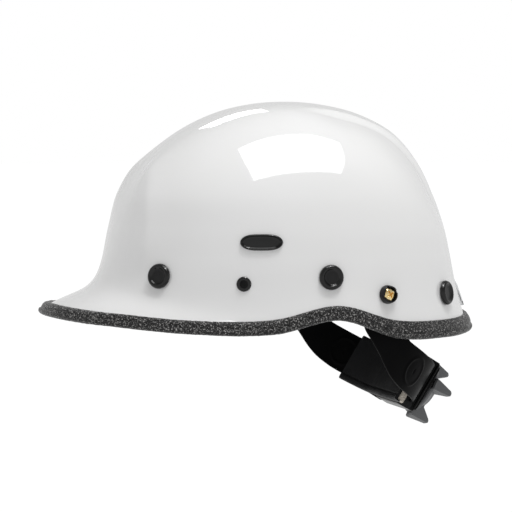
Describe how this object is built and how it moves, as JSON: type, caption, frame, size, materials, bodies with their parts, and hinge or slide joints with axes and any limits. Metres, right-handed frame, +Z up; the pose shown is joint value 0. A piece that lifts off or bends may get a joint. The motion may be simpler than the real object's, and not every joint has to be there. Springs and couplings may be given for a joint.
{
  "type": "rescue helmet",
  "caption": "Brimmed hard-shell water rescue helmet with a grained edge trim, foam liner, webbing cradle and a ratchet nape band under the back.",
  "frame": {"origin": "middle of the head opening, at the level of the rim", "axes": "+X is the wearer's left, -Y the front, +Z up"},
  "size_m": [0.2398, 0.3274, 0.245],
  "materials": {
    "shell": "high gloss white",
    "trim": "leather-grained black vinyl",
    "black_satin": "satin black nylon",
    "steel": "bright zinc steel",
    "black_gloss": "gloss black",
    "brass": "bright yellow-passivated brass",
    "nylon": "fine moulded black nylon",
    "clear": "clear polycarbonate",
    "foam": "closed-cell charcoal foam",
    "webbing": "woven black polyester webbing",
    "patch": "stitched black leather",
    "band": "soft black polyethylene",
    "brow": "perforated soft sweatband leather",
    "arm": "satin flexible black plastic",
    "housing": "semi-gloss black plastic",
    "knob": "grey moulded nylon",
    "satin": "black satin weave",
    "cream": "cream brushed foam backing"
  },
  "bodies": {
    "helmet": {"shell": "shell", "edge_trim": "trim", "harness_plugs": "black_satin", "harness_keys": "black_satin", "plug_retainers": "steel", "visor_sockets": "black_gloss", "screw_collars": "black_satin", "brass_screws": "brass", "pivot_bushes": "nylon", "pivot_clips": "steel", "badge_left": "black_gloss", "badge_right": "black_gloss", "goggle_clip": "clear", "goggle_clip_rivets": "steel", "impact_liner": "foam", "crown_strap_left": "webbing", "crown_strap_right": "webbing", "crown_strap_cross": "webbing", "crown_patch": "patch", "headband": "band", "headband_tabs": "band", "brow_pad": "brow", "chin_strap_left": "webbing", "chin_strap_right": "webbing", "chin_slider": "nylon", "buckle_female": "nylon"},
    "nape_arms": {"nape_arm_left": "arm", "nape_arm_right": "arm"},
    "ratchet_housing": {"ratchet_back": "nylon", "ratchet_cover": "housing", "ratchet_screws": "steel", "detent_spring": "steel", "nape_pad": "satin", "nape_pad_foam": "cream"},
    "left_rack": {"rack_left": "nylon"},
    "right_rack": {"rack_right": "nylon"},
    "knob": {"knob": "knob", "pinion": "nylon", "knob_screw": "steel"},
    "buckle_plug": {"buckle_male": "nylon"}
  },
  "joints": [
    {"name": "nape_swing", "type": "hinge", "parent": "helmet", "child": "nape_arms", "pos_m": [0, 0.0465, 0.0195], "axis": [1, 0, 0], "range_deg": [-20, 6]},
    {"name": "size_slide", "type": "slide", "parent": "nape_arms", "child": "ratchet_housing", "axis": [0, -0.848, 0.5299], "range_m": [-0.0048, 0.0127], "deforming": ["nape_arm_left", "nape_arm_right"]},
    {"name": "knob_turn", "type": "hinge", "parent": "ratchet_housing", "child": "knob", "pos_m": [0, 0.10534, -0.05618], "axis": [0, -0.848, 0.5299], "range_deg": [-45, 120]},
    {"name": "left_rack_slide", "type": "slide", "parent": "ratchet_housing", "child": "left_rack", "axis": [-1, 0, 0], "range_m": [-0.0048, 0.0127]},
    {"name": "right_rack_slide", "type": "slide", "parent": "ratchet_housing", "child": "right_rack", "axis": [1, 0, 0], "range_m": [-0.0048, 0.0127]},
    {"name": "buckle_release", "type": "slide", "parent": "helmet", "child": "buckle_plug", "axis": [1, 0, 0], "range_m": [0, 0.014], "deforming": ["chin_strap_left"]}
  ],
  "couplings": [
    {"joint": "left_rack_slide", "follows": "knob_turn", "m_per_rad": 0.006},
    {"joint": "right_rack_slide", "follows": "knob_turn", "m_per_rad": 0.006},
    {"joint": "size_slide", "follows": "knob_turn", "m_per_rad": 0.006}
  ]
}
